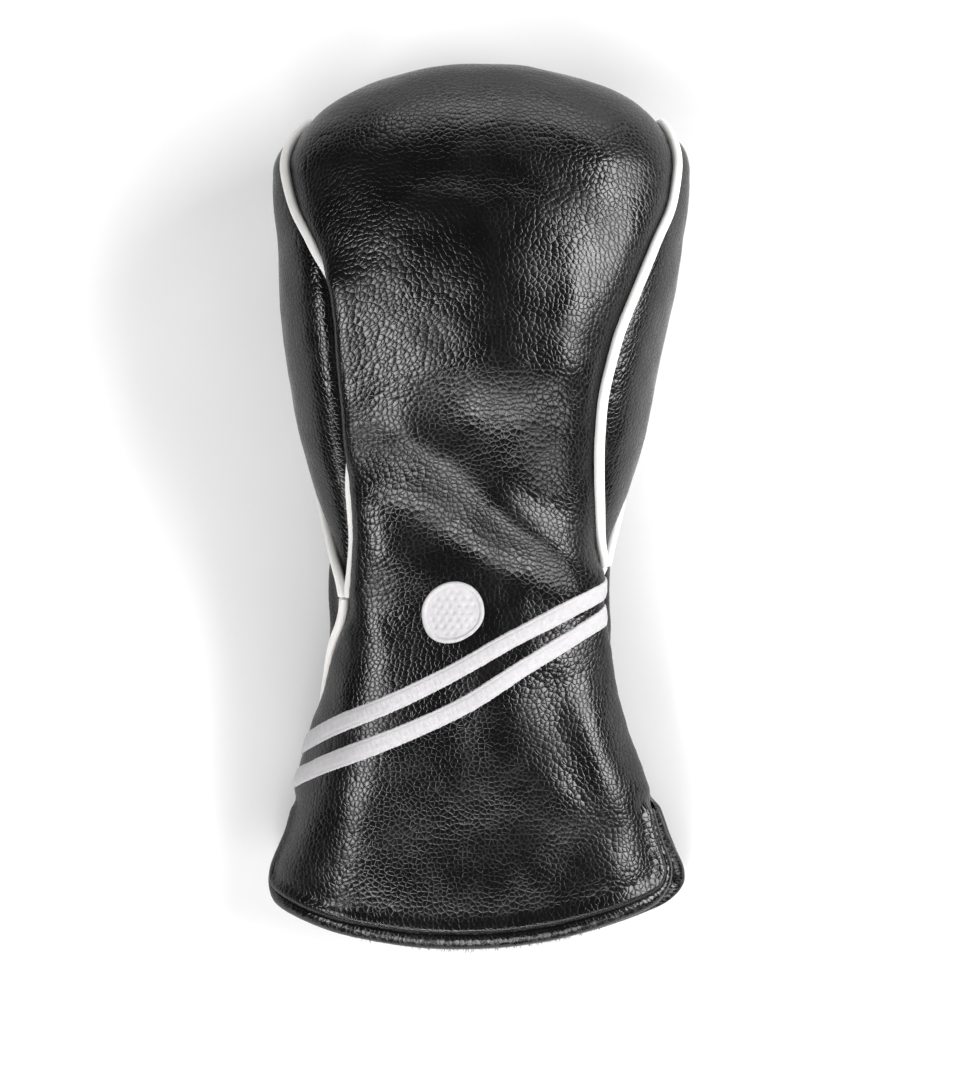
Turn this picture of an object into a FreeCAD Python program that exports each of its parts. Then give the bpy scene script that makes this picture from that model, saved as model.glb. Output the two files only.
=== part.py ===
import FreeCAD, Part
import functools
import math
import os

from FreeCAD import Vector

# A driver head cover, lying on its back: +Z up, the closed crown at +Y, the open mouth at -Y.
# A centre strip (front panel, over the crown, back panel) is sewn to two teardrop gussets.
# Every sewn layer is a patch of one hull, taken between two depths under its outer surface.
# Lengths are in millimetres and angles in degrees, unless a name says "share".

# ---- Hull: (station along Y, value) pairs, joined by smooth curves ----
HALF_WIDTH = (
    (-166, 80), (-140, 78.5), (-120, 71), (-100, 64), (-80, 57.5), (-60, 53), (-37, 51.8),
    (-15, 52), (8, 58), (30, 63.5), (53, 68), (75, 71.5), (98, 74.3), (120, 76.5), (130, 76.5),
)
CENTRE_X = (
    (-166, -1), (-120, -1.3), (-82, -3.8), (-37, -3.7), (8, -3.1), (53, -2.6), (98, 0), (130, 0.5),
)
TOP_Z = (
    (-166, 40), (-120, 50), (-80, 56), (-40, 58), (0, 68), (30, 80), (60, 88), (92, 91), (124, 85),
)
WIDEST_Z = (
    (-166, 6), (-140, 9), (-112, 16), (-80, 22), (-40, 27), (0, 31), (50, 37), (100, 39), (130, 39),
)
BOTTOM_Z = (
    (-166, -0.5), (-115, -0.5), (-90, 1.5), (-50, 5), (-20, 5), (15, 2),
    (42, -0.4), (66, -0.5), (90, -0.4), (106, 1), (124, 5),
)
UPPER_POWER = 2.3
LOWER_POWER = 2.8

# ---- Seams: (station along Y, angle above the widest line), right (+X) then left ----
RIGHT, LEFT = 1, -1
FRONT_SEAM = {
    RIGHT: (
        (-22, 13), (-8, 21), (11, 30), (27, 35), (43, 36.8), (60, 35.5), (78, 31.5), (98, 25),
        (111, 18.6), (124, 15),
    ),
    LEFT: (
        (-34, 19), (-17, 23), (2, 28), (22, 32.5), (45, 35.3), (62, 36), (76, 35), (88, 31.8),
        (98, 27.5), (111, 20), (124, 15),
    ),
}
BACK_SEAM = {
    RIGHT: ((-22, 13), (-14, 7), (0, -7), (25, -20), (60, -24), (98, -21), (124, -16)),
    LEFT: ((-34, 19), (-26, 16.5), (-15, 9), (0, -5), (25, -19), (60, -24), (98, -21), (124, -16)),
}
SIDE_SEAM = {
    RIGHT: ((-166, 5), (-112, 6), (-90, 3), (-60, 5), (-37, 11), (-22, 13)),
    LEFT: ((-166, -2), (-112, -4), (-90, -5), (-65, 1), (-50, 10), (-41, 17), (-34, 19)),
}
GUSSET_TIP_Y = {RIGHT: -22, LEFT: -34}
PIPING_PARTS_AT = {RIGHT: 3.5, LEFT: 8.5}
SIDES = {RIGHT: "right", LEFT: "left"}

# ---- Rounded crown ----
CROWN_START_Y = 124
CROWN_REACH = 41
GUSSET_REACH = 20
CROWN_POWER = 1.8
CROWN_INWARD = 9
CROWN_LEAN = 2
CROSS_SEAM_TURN = 128

# ---- Mouth: two tongues below the side notches ----
NOTCH_Y = -112
NOTCH_GAP = 0.3
HEM_Y = {"front": -164.5, "back": -166}
HEM_SWEEP = 21
HEM_CORNER_RADIUS = 14
TONGUE_HALF_ARC = 90
HEM_BINDING_WIDTH = 5.5
SPLIT_ANGLE = {RIGHT: 4, LEFT: 1.5}

# ---- Layers, as depths under the outer surface ----
LEATHER = 1.4
LAYER_GAP = 0.2
LINING = 2.0
LINING_DEPTH = ((-166, 1.6), (-62, 1.6), (-50, 3.1), (-18, 3.1), (6, 5.8), (130, 5.8))
PADDING_START_Y = -12
ELASTIC = 0.8
ELASTIC_GAP = 0.45
ELASTIC_LOW_Y = -49
ELASTIC_HIGH_Y = -23
ELASTIC_EDGE_GAP = 1.5
BINDING_PROUD = 0.6
BINDING_INNER_DEPTH = 4.2
BINDING_GAP = 0.4
SEAM_GAP = 0.35
SIDE_EDGE_GAP = 1.2

# ---- Piping and embroidery ----
PIPING_RADIUS = 2.0
PIPING_PROUD = 0.5
PIPING_CLEARANCE = 0.35
PIPING_SIDES = 12
STITCH_LOW_DEPTH = -0.15
STITCH_HIGH_DEPTH = -0.85
STRIPE_WIDTH = 7.0
# Stripe centre lines: (distance round the panel from its middle, +X side positive; station along Y).
UPPER_STRIPE = ((-75, -89.5), (-64, -86), (-34, -75), (-10, -63), (17, -46), (50.5, -28.5))
LOWER_STRIPE = ((-78, -102.5), (-69, -100), (-33, -88), (-2, -74), (24, -56), (51, -39))
EMBLEM_CENTRE = (-9.5, -38)
EMBLEM_RADIUS = 11.5

# The middle of the finished cover's overall box in plan, moved to the origin at the end.
BOX_MIDDLE = (-1.06, -0.5)

ACROSS_COUNT = 21
SECTION_STEP = 6
DENSE_COUNT = 121


def smooth(profile, at):
    """The value at `at` of a curve through the profile's points, with no overshoot between them."""
    if at <= profile[0][0]:
        return profile[0][1]
    if at >= profile[-1][0]:
        return profile[-1][1]
    slopes = [(b[1] - a[1]) / (b[0] - a[0]) for a, b in zip(profile, profile[1:])]
    tangents = [slopes[0]]
    for before, after in zip(slopes, slopes[1:]):
        same_way = before * after > 0
        tangents.append(2 * before * after / (before + after) if same_way else 0)
    tangents.append(slopes[-1])
    i = next(k for k in range(len(slopes)) if at <= profile[k + 1][0])
    (x0, y0), (x1, y1) = profile[i], profile[i + 1]
    span = x1 - x0
    t = (at - x0) / span
    start = span * tangents[i] * t * (1 - t) ** 2
    end = span * tangents[i + 1] * t * t * (t - 1)
    return y0 + (y1 - y0) * (3 - 2 * t) * t * t + start + end


def spread(first, last, count):
    """`count` evenly spaced values from first to last."""
    return [first + (last - first) * i / (count - 1) for i in range(count)]


def stations(first, last):
    """Evenly spaced stations from first to last, about one section step apart."""
    return spread(first, last, round(abs(last - first) / SECTION_STEP) + 1)


def walk(points, distances):
    """The points at the given distances along a chain of points."""
    steps = [(b - a).Length for a, b in zip(points, points[1:])]
    found, i, passed = [], 0, 0
    for distance in distances:
        while i < len(steps) - 1 and passed + steps[i] < distance:
            passed += steps[i]
            i += 1
        found.append(points[i] + (points[i + 1] - points[i]) * ((distance - passed) / steps[i]))
    return found


def chain_length(points):
    """The length of a chain of points."""
    return sum((b - a).Length for a, b in zip(points, points[1:]))


def trimmed(points, gap, count=ACROSS_COUNT):
    """Evenly spaced points along a chain, `gap` back from both of its ends."""
    return walk(points, spread(gap, chain_length(points) - gap, count))


def half_section(y, upper):
    """The half width, height and power of a section's upper or lower half."""
    widest = smooth(WIDEST_Z, y)
    if upper:
        return smooth(HALF_WIDTH, y), smooth(TOP_Z, y) - widest, UPPER_POWER
    return smooth(HALF_WIDTH, y), widest - smooth(BOTTOM_Z, y), LOWER_POWER


def section_turn(y, angle):
    """The turn along the section's curve at which a true angle round from +X falls."""
    half_width, height, power = half_section(y, angle >= 0)
    c, s = math.cos(math.radians(angle)), math.sin(math.radians(angle))
    along = math.copysign((abs(c) / half_width) ** (power / 2), c)
    up = math.copysign((abs(s) / height) ** (power / 2), s)
    return math.degrees(math.atan2(up, along))


def section_points(y, turns, depth):
    """Points of the hull's section at station y, `depth` under its surface."""
    centre = Vector(smooth(CENTRE_X, y), y, smooth(WIDEST_Z, y))
    halves = {upper: half_section(y, upper) for upper in (True, False)}
    points = []
    for turn in turns:
        c, s = math.cos(math.radians(turn)), math.sin(math.radians(turn))
        half_width, height, power = halves[s >= 0]
        along = math.copysign((half_width - depth) * abs(c) ** (2 / power), c)
        up = math.copysign((height - depth) * abs(s) ** (2 / power), s)
        points.append(centre + Vector(along, 0, up))
    return points


def side_angle(side, angle):
    """An angle above the widest line on one side, as an angle round from +X within 180 either way."""
    if side == RIGHT:
        return angle
    return 180 - angle if angle >= 0 else -180 - angle


def panel_edge(panel, side, y):
    """The angle of the front or back panel's edge above the widest line."""
    seam = FRONT_SEAM if panel == "front" else BACK_SEAM
    if y > GUSSET_TIP_Y[side]:
        return smooth(seam[side], y)
    below = max(0, (NOTCH_Y - y) / (NOTCH_Y - HEM_Y["back"]))
    split = SPLIT_ANGLE[side] * below * (2 - below)
    return smooth(SIDE_SEAM[side], y) + (split if panel == "front" else -split)


def strip_turns(strip, y):
    """The turns of a strip's two edges: from right to left, or from back to front."""
    if strip in SIDES:
        angles = [side_angle(strip, panel_edge(panel, strip, y)) for panel in ("back", "front")]
        turns = [section_turn(y, angle) for angle in angles]
        return [turn % 360 for turn in turns] if strip == LEFT else turns
    right, left = (section_turn(y, side_angle(side, panel_edge(strip, side, y))) for side in SIDES)
    return (right, left % 360) if strip == "front" else (right, left % 360 - 360)


@functools.lru_cache(maxsize=None)
def strip_arc(strip, y, depth):
    """Closely spaced points right across a strip at station y."""
    return section_points(y, spread(*strip_turns(strip, y), DENSE_COUNT), depth)


@functools.lru_cache(maxsize=None)
def strip_point(strip, across, y, depth):
    """The point at a share across a strip, -1 at its first edge to 1 at its other."""
    arc = strip_arc(strip, y, depth)
    return walk(arc, [(1 + across) / 2 * chain_length(arc)])[0]


def crown_edge_points(across, depth):
    """The front and back panels' points, and their slopes along Y, where the crown starts."""
    found = []
    for panel in ("front", "back"):
        here = strip_point(panel, across, CROWN_START_Y, depth)
        found.append((here, here - strip_point(panel, across, CROWN_START_Y - 1, depth)))
    return found


@functools.lru_cache(maxsize=None)
def crown_reach(across):
    """How far the crown goes past its start, at a share across it."""
    centre = smooth(CENTRE_X, CROWN_START_Y)
    here, edge = (crown_edge_points(a, 0)[0][0].x - centre for a in (across, math.copysign(1, across)))
    return GUSSET_REACH + (CROWN_REACH - GUSSET_REACH) * (1 - abs(here / edge) ** CROWN_POWER)


def crown_point(across, turn, depth):
    """A point of the crown: across it -1 right to 1 left, turned 0 in front to 180 behind."""
    s, c = math.sin(math.radians(turn)), math.cos(math.radians(turn))
    reach = crown_reach(across) - depth
    point = Vector(CROWN_INWARD * across**3 * s * s + CROWN_LEAN * s * s, 0, 0)
    ends = crown_edge_points(across, depth)
    for (here, slope), share in zip(ends, ((1 + c) / 2, (1 - c) / 2)):
        point += (here + slope * reach * s) * share
    return Vector(point.x, CROWN_START_Y + reach * s, point.z)


def crown_row(turn, depth, gap):
    """Points across the centre strip where it turns over the crown."""
    return trimmed([crown_point(a, turn, depth) for a in spread(-1, 1, 41)], gap)


def gusset_crown_row(side, turn, depth, gap):
    """Points across a gusset's rounded end, from its back seam to its front seam."""
    base = trimmed(strip_arc(side, CROWN_START_Y, depth), 0)
    front = crown_point(-side, turn, depth)
    back = crown_point(-side, 180 - turn, depth)
    narrowing = math.cos(math.radians(turn))
    row = []
    for point, a in zip(base, spread(0, 1, ACROSS_COUNT)):
        bulge = point - (base[0] + (base[-1] - base[0]) * a)
        row.append(back + (front - back) * a + bulge * narrowing)
    return trimmed(row, gap / narrowing)


def surface(rows):
    """A smooth face through rows of points."""
    face = Part.BSplineSurface()
    face.interpolate(rows)
    return face.toShape()


def closed_solid(shapes):
    """The solid that a closed set of faces bounds, turned the right way out."""
    shell = Part.makeShell([face for shape in shapes for face in shape.Faces])
    shell.sewShape()
    solid = Part.makeSolid(shell)
    if solid.Volume < 0:
        solid.reverse()
    return solid


def layer(rows_at, outer_depth, inner_depth):
    """A solid between two depths; rows_at(depth) gives the rows of points at one of them."""
    outer, inner = (surface(rows_at(depth)) for depth in (outer_depth, inner_depth))
    walls = [Part.makeRuledSurface(a, b, 1) for a, b in zip(outer.Edges, inner.Edges)]
    return closed_solid([outer, inner] + walls)


def depth_at(depth, y):
    """A depth, given as a number or as a function of the station."""
    return depth(y) if callable(depth) else depth


def strip_layer(strip, low_y, turns, outer, inner, gap):
    """A layer of one strip, from station low_y up and over the given turns of the crown."""
    def rows_at(depth):
        rows = []
        for y in stations(low_y, CROWN_START_Y):
            rows.append(trimmed(strip_arc(strip, y, depth_at(depth, y)), gap))
        at_crown = depth_at(depth, CROWN_START_Y)
        for turn in turns:
            if strip in SIDES:
                rows.append(gusset_crown_row(strip, turn, at_crown, gap))
            else:
                rows.append(crown_row(turn, at_crown, gap))
        return rows
    return layer(rows_at, outer, inner)


def turns_to(last, count):
    """Turns over the crown up to `last`, leaving out 0, where the last station is."""
    return spread(0, last, count + 1)[1:]


def panel_turns(panel):
    """The turns of the front or back panel, up to the seam that joins them behind the crown."""
    if panel == "front":
        return turns_to(CROSS_SEAM_TURN - 0.3, 12)
    return [180 - turn for turn in turns_to(180 - CROSS_SEAM_TURN - 0.3, 5)]


def lining_outer(y):
    """Depth of the lining's outer face."""
    return smooth(LINING_DEPTH, y)


def lining_inner(y):
    """Depth of the lining's inner face."""
    return lining_outer(y) + LINING


def padding_inner(y):
    """Depth of the padding's inner face."""
    return lining_outer(y) - LAYER_GAP


LAYERS = {
    "leather": (0, LEATHER, PIPING_RADIUS + PIPING_CLEARANCE),
    "padding": (LEATHER + LAYER_GAP, padding_inner, SEAM_GAP),
    "lining": (lining_outer, lining_inner, SEAM_GAP),
}


def panel_layer(kind, panel):
    """The front or back panel's leather, padding or lining, above the notches."""
    low_y = PADDING_START_Y if kind == "padding" else NOTCH_Y + NOTCH_GAP
    return strip_layer(panel, low_y, panel_turns(panel), *LAYERS[kind])


def gusset_layer(kind, side):
    """A gusset's leather, padding or lining."""
    parts_at = GUSSET_TIP_Y[side] + PIPING_PARTS_AT[side]
    low_y = {"leather": parts_at + 2, "padding": PADDING_START_Y, "lining": parts_at - 1}[kind]
    return strip_layer(side, low_y, turns_to(58, 5), *LAYERS[kind])


def mouth_edge(panel, inset, up_to_notch):
    """A tongue's edge, `inset` from its outline, as evenly spaced (share across, station) places."""
    radius = HEM_CORNER_RADIUS - inset
    side = TONGUE_HALF_ARC - SIDE_EDGE_GAP - inset
    half = [(out, 0) for out in spread(0, side - radius, 30)]
    for turn in spread(3, 90 if up_to_notch else 85, 20):
        s, c = math.sin(math.radians(turn)), math.cos(math.radians(turn))
        half.append((side - radius + radius * s, radius * (1 - c)))
    sweep = HEM_SWEEP / TONGUE_HALF_ARC**2
    half = [Vector(out, HEM_Y[panel] + sweep * out * out + inset + up, 0) for out, up in half]
    if up_to_notch:
        half.append(Vector(half[-1].x, NOTCH_Y - 2 * NOTCH_GAP, 0))
    half = [(point.x / TONGUE_HALF_ARC, point.y) for point in trimmed(half, 0)]
    return [(-a, y) for a, y in half[:0:-1]] + half


def tongue(kind, panel):
    """A tongue's leather or lining, inside its hem binding."""
    outer, inner, _ = LAYERS[kind]
    top = NOTCH_Y - NOTCH_GAP
    edge = mouth_edge(panel, HEM_BINDING_WIDTH + BINDING_GAP, False)

    def rows_at(depth):
        rows = []
        for share in spread(0, 1, 7):
            places = [(a, y + (top - y) * share) for a, y in edge]
            rows.append([strip_point(panel, a, y, depth_at(depth, y)) for a, y in places])
        return rows
    return layer(rows_at, outer, inner)


def hem_binding(panel):
    """The turned strip of leather round a tongue's edge, from notch to notch."""
    def rows_at(depth):
        edges = [mouth_edge(panel, inset, True) for inset in spread(0, HEM_BINDING_WIDTH, 4)]
        return [[strip_point(panel, a, y, depth) for a, y in edge] for edge in edges]
    return layer(rows_at, -BINDING_PROUD, BINDING_INNER_DEPTH)


def above_floor(shape):
    """The part of a shape above the surface that the cover lies on."""
    return shape.common(Part.makeBox(400, 500, 200, Vector(-200, -250, 0)))


def seam_point(side, which, y):
    """A point of a seam line, at the piping's centre."""
    front, back = (panel_edge(panel, side, y) for panel in ("front", "back"))
    angle = {"front": front, "back": back, "side": (front + back) / 2}[which]
    return section_points(y, [section_turn(y, side_angle(side, angle))], -PIPING_PROUD)[0]


def gusset_piping_path(side):
    """Up a gusset's front seam, round the crown and down its back seam."""
    low_y = GUSSET_TIP_Y[side] + PIPING_PARTS_AT[side]
    up = [seam_point(side, "front", y) for y in stations(low_y, CROWN_START_Y)]
    over = [crown_point(-side, turn, -PIPING_PROUD) for turn in turns_to(180, 14)[:-1]]
    down = [seam_point(side, "back", y) for y in stations(CROWN_START_Y, low_y)]
    return up + over + down


def side_piping_path(side):
    """From where a gusset's two pipings meet, down the side seam to the notch."""
    top = GUSSET_TIP_Y[side] + PIPING_PARTS_AT[side] - 0.3
    return [seam_point(side, "side", y) for y in stations(top, NOTCH_Y + 1)]


def tube(path):
    """A round tube along a path of points, with flat ends."""
    rings = []
    normal = Vector(0, 0, 1)
    for i, point in enumerate(path):
        ahead = path[min(i + 1, len(path) - 1)] - path[max(i - 1, 0)]
        ahead.normalize()
        normal = normal - ahead * normal.dot(ahead)
        normal.normalize()
        across = ahead.cross(normal)
        ring = []
        for k in range(PIPING_SIDES + 1):
            turn = 2 * math.pi * k / PIPING_SIDES
            out = normal * math.cos(turn) + across * math.sin(turn)
            ring.append(point + out * PIPING_RADIUS)
        rings.append(ring)
    skin = surface(rings)
    ends = [e for e in skin.Edges if (e.Vertexes[0].Point - e.Vertexes[-1].Point).Length < 0.01]
    return closed_solid([skin] + [Part.Face(Part.Wire(end)) for end in ends])


def front_point(distance, y, depth):
    """The front panel's point at a distance round it from its middle, +X side positive."""
    arc = strip_arc("front", y, 0)
    return strip_point("front", -distance / (chain_length(arc) / 2), y, depth)


def stripe(centre_line):
    """A raised band of satin stitch right across the front panel, from seam to seam."""
    def rows_at(depth):
        rows = []
        for distance in spread(centre_line[0][0], centre_line[-1][0], 29):
            y = smooth(centre_line, distance)
            slope = smooth(centre_line, distance + 0.5) - smooth(centre_line, distance - 0.5)
            half = STRIPE_WIDTH / 2 * math.hypot(1, slope)
            rows.append([front_point(distance, y + dy, depth) for dy in spread(-half, half, 5)])
        return rows
    return layer(rows_at, STITCH_HIGH_DEPTH, STITCH_LOW_DEPTH)


def emblem():
    """A plain stitched disc, like a golf ball, above the stripes."""
    distance, y = EMBLEM_CENTRE
    offsets = spread(-EMBLEM_RADIUS - 2, EMBLEM_RADIUS + 2, 9)

    def rows_at(depth):
        return [[front_point(distance + dx, y + dy, depth) for dx in offsets] for dy in offsets]
    patch = layer(rows_at, STITCH_HIGH_DEPTH, STITCH_LOW_DEPTH)
    middle = front_point(distance, y, 0)
    return patch.common(Part.makeCylinder(EMBLEM_RADIUS, 200, Vector(middle.x, middle.y, 0)))


def elastic(panel):
    """The elastic tape that gathers the neck, across one panel between its leather and its lining."""
    def rows_at(depth):
        return [trimmed(strip_arc(panel, y, depth), ELASTIC_EDGE_GAP)
                for y in stations(ELASTIC_LOW_Y, ELASTIC_HIGH_Y)]
    outer = LEATHER + ELASTIC_GAP
    return layer(rows_at, outer, outer + ELASTIC)


def build():
    """Every sub-part by its node name."""
    parts = {
        "front_panel": panel_layer("leather", "front"),
        "front_flap": tongue("leather", "front"),
        "back_panel": above_floor(panel_layer("leather", "back")),
        "back_flap": above_floor(tongue("leather", "back")),
        "front_padding": panel_layer("padding", "front"),
        "back_padding": panel_layer("padding", "back"),
        "front_lining": panel_layer("lining", "front"),
        "front_flap_lining": tongue("lining", "front"),
        "back_lining": panel_layer("lining", "back"),
        "back_flap_lining": tongue("lining", "back"),
        "front_neck_elastic": elastic("front"),
        "back_neck_elastic": elastic("back"),
        "front_hem_binding": hem_binding("front"),
        "back_hem_binding": above_floor(hem_binding("back")),
        "upper_stripe": stripe(UPPER_STRIPE),
        "lower_stripe": stripe(LOWER_STRIPE),
        "ball_emblem": emblem(),
    }
    for side, name in SIDES.items():
        parts[name + "_gusset"] = gusset_layer("leather", side)
        parts[name + "_gusset_padding"] = gusset_layer("padding", side)
        parts[name + "_gusset_lining"] = gusset_layer("lining", side)
        parts[name + "_gusset_piping"] = tube(gusset_piping_path(side))
        parts[name + "_side_piping"] = tube(side_piping_path(side))
    return parts


os.makedirs("parts", exist_ok=True)
for node, shape in build().items():
    shape.translate(Vector(-BOX_MIDDLE[0], -BOX_MIDDLE[1], 0))
    shape.exportStep("parts/" + node + ".step")
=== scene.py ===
import math
from functools import lru_cache, partial

import bpy
import numpy as np
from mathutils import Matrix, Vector


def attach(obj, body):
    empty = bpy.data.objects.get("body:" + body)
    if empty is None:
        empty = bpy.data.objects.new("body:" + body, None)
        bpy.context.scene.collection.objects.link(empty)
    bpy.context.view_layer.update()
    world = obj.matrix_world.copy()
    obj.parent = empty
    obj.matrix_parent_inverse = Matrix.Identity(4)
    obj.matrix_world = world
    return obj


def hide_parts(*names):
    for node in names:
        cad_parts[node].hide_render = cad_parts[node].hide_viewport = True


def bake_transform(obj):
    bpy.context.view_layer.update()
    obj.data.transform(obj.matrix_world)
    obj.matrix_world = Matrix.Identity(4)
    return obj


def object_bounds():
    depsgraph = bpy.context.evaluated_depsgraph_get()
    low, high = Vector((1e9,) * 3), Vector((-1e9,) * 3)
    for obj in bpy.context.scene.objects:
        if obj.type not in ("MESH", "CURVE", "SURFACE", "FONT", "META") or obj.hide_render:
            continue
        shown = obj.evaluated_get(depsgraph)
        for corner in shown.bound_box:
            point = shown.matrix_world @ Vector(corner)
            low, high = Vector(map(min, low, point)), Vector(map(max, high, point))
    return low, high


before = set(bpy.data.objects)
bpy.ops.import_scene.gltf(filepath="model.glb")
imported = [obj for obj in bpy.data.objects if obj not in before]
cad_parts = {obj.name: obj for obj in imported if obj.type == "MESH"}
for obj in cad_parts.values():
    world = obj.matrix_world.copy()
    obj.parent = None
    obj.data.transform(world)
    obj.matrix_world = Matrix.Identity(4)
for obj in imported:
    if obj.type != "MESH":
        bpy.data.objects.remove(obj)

# The looks of a driver head cover, lying on its back: crown at +Y, open mouth at -Y, front panel up.
# The hull, its seams and its mouth repeat the CAD's numbers, in millimetres and degrees, with X and Y
# measured as there; `placed` turns them into the frame's metres. Every visible layer is a grid of
# points on that hull, raised along its normals by the same folds, so that the layers nest.

CAD_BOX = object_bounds()
HULL_ORIGIN = np.array((1.06, 0.5, 0.0))
MM = 0.001

# ---- Camera and studio ----
FRAME_HEIGHT = 0.4091
FRAME_PLANE_Z = 0.035
FRAMING = (0.00106, -0.0128)
CAMERA_Z = 1.7
SENSOR = 36.0
FLOOR_HALF = 2.5
AIM = Vector((0.0, 0.0, 0.03))
EXPOSURE = 0.33
CONTRAST_GAMMA = 0.77
WORLD_LIGHT = 0.03
# name: (degrees from straight above, degrees round from +X, width, height, radiance)
SOFTBOXES = {
    "left": (40, 193, 0.7, 0.4, 7.5),
    "low_left": (55, 250, 0.6, 0.35, 5.0),
    "right": (54, 12, 1.1, 0.5, 8.0),
    "crown_end": (76, 85, 1.2, 0.4, 2.8),
    "mouth_end": (60, 285, 1.1, 0.4, 4.0),
}
SOFTBOX_DISTANCE = 1.15
FLOOR_GLOW = 0.02

# ---- Hull: (station along Y, value) pairs, joined by smooth curves ----
HALF_WIDTH = (
    (-166, 80), (-140, 78.5), (-120, 71), (-100, 64), (-80, 57.5), (-60, 53), (-37, 51.8),
    (-15, 52), (8, 58), (30, 63.5), (53, 68), (75, 71.5), (98, 74.3), (120, 76.5), (130, 76.5),
)
CENTRE_X = (
    (-166, -1), (-120, -1.3), (-82, -3.8), (-37, -3.7), (8, -3.1), (53, -2.6), (98, 0), (130, 0.5),
)
TOP_Z = (
    (-166, 40), (-120, 50), (-80, 56), (-40, 58), (0, 68), (30, 80), (60, 88), (92, 91), (124, 85),
)
WIDEST_Z = (
    (-166, 6), (-140, 9), (-112, 16), (-80, 22), (-40, 27), (0, 31), (50, 37), (100, 39), (130, 39),
)
BOTTOM_Z = (
    (-166, -0.5), (-115, -0.5), (-90, 1.5), (-50, 5), (-20, 5), (15, 2),
    (42, -0.4), (66, -0.5), (90, -0.4), (106, 1), (124, 5),
)
UPPER_POWER, LOWER_POWER = 2.3, 2.8

# ---- Seams: (station along Y, angle above the widest line), right (+X) then left ----
RIGHT, LEFT = 1, -1
SIDES = {RIGHT: "right", LEFT: "left"}
FRONT_SEAM = {
    RIGHT: (
        (-22, 13), (-8, 21), (11, 30), (27, 35), (43, 36.8), (60, 35.5), (78, 31.5), (98, 25),
        (111, 18.6), (124, 15),
    ),
    LEFT: (
        (-34, 19), (-17, 23), (2, 28), (22, 32.5), (45, 35.3), (62, 36), (76, 35), (88, 31.8),
        (98, 27.5), (111, 20), (124, 15),
    ),
}
BACK_SEAM = {
    RIGHT: ((-22, 13), (-14, 7), (0, -7), (25, -20), (60, -24), (98, -21), (124, -16)),
    LEFT: ((-34, 19), (-26, 16.5), (-15, 9), (0, -5), (25, -19), (60, -24), (98, -21), (124, -16)),
}
SIDE_SEAM = {
    RIGHT: ((-166, 5), (-112, 6), (-90, 3), (-60, 5), (-37, 11), (-22, 13)),
    LEFT: ((-166, -2), (-112, -4), (-90, -5), (-65, 1), (-50, 10), (-41, 17), (-34, 19)),
}
GUSSET_TIP_Y = {RIGHT: -22, LEFT: -34}
GUSSET_STARTS_AT = {RIGHT: 3.0, LEFT: 7.5}

# ---- Rounded crown ----
CROWN_START_Y = 124
CROWN_REACH, GUSSET_REACH = 41, 20
CROWN_POWER, CROWN_INWARD, CROWN_LEAN = 1.8, 9, 2
CROSS_SEAM_TURN = 128
GUSSET_LAST_TURN = 66

# ---- Mouth ----
NOTCH_Y = -112
HEM_Y = {"front": -164.5, "back": -166}
HEM_SWEEP = 21
HEM_CORNER_RADIUS = 14
TONGUE_HALF_ARC = 90
SIDE_EDGE_GAP = 1.2
SPLIT_ANGLE = {RIGHT: 4, LEFT: 1.5}
HEM_BINDING_WIDTH = 5.5
TONGUE_EDGE_LENGTH = 250
# The leather's cut edge, inside its binding.
CUT_INSET = 2.5
CUT_HALF_ARC = TONGUE_HALF_ARC - SIDE_EDGE_GAP - CUT_INSET
CUT_RADIUS = HEM_CORNER_RADIUS - CUT_INSET
# The binding's section: (inset from the tongue's outline, depth), its outer face first.
BINDING_SECTION = (
    (5.7, 0.15), (5.6, -0.35), (5.1, -0.72), (4.3, -0.88), (3.3, -0.86), (2.3, -0.62), (1.4, -0.2),
    (0.7, 0.4), (0.2, 1.2), (0.0, 2.1), (0.2, 2.9), (0.7, 3.6), (1.5, 4.05), (2.6, 4.2), (3.8, 4.2),
    (5.0, 4.15), (5.5, 3.95), (5.5, 3.68), (4.0, 3.66), (2.6, 3.64), (1.7, 3.4), (1.2, 2.7),
    (1.05, 1.9), (1.2, 1.0), (1.9, 0.3), (3.0, 0.02), (4.4, 0.0),
)

# ---- Layers, as depths under the outer surface ----
LEATHER = 1.4
LAYER_GAP = 0.2
LINING = 2.0
LINING_DEPTH = ((-166, 1.6), (-62, 1.6), (-50, 3.1), (-18, 3.1), (6, 5.8), (130, 5.8))
PADDING_START_Y = -12
ELASTIC_DEPTH = 1.85
ELASTIC = 0.8
ELASTIC_LOW_Y, ELASTIC_HIGH_Y = -49, -23
# How far each layer stays back from its seams.
LEATHER_EDGE_GAP, FLEECE_EDGE_GAP, FOAM_EDGE_GAP, ELASTIC_EDGE_GAP = 1.3, 0.5, 0.8, 1.5
FLEECE_ROUGHNESS = 0.18

# ---- Piping and embroidery ----
PIPING_RADIUS = 2.0
PIPING_PROUD = 0.5
PIPING_STEP, PIPING_SIDES = 1.4, 20
STRIPE_WIDTH = 7.0
STITCH_HEIGHT, STITCH_ROOT = 0.85, 0.25
THREAD_PITCH = 0.46
# Places across a stripe, as shares of its half width, closer together where its surface bends.
STRIPE_COLUMNS = (
    -1, -0.96, -0.88, -0.76, -0.66, -0.6, -0.4, -0.2, 0, 0.2, 0.4, 0.6, 0.66, 0.76, 0.88, 0.96, 1,
)
STRIPE_ROW_OF_HOLES = 0.66
UPPER_STRIPE = ((-75, -89.5), (-64, -86), (-34, -75), (-10, -63), (17, -46), (50.5, -28.5))
LOWER_STRIPE = ((-78, -102.5), (-69, -100), (-33, -88), (-2, -74), (24, -56), (51, -39))
EMBLEM_CENTRE = (-9.5, -38)
EMBLEM_RADIUS = 11.5
EMBLEM_BORDER = 1.9
DIMPLE_PITCH, DIMPLE_RADIUS = 3.0, 0.85

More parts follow.
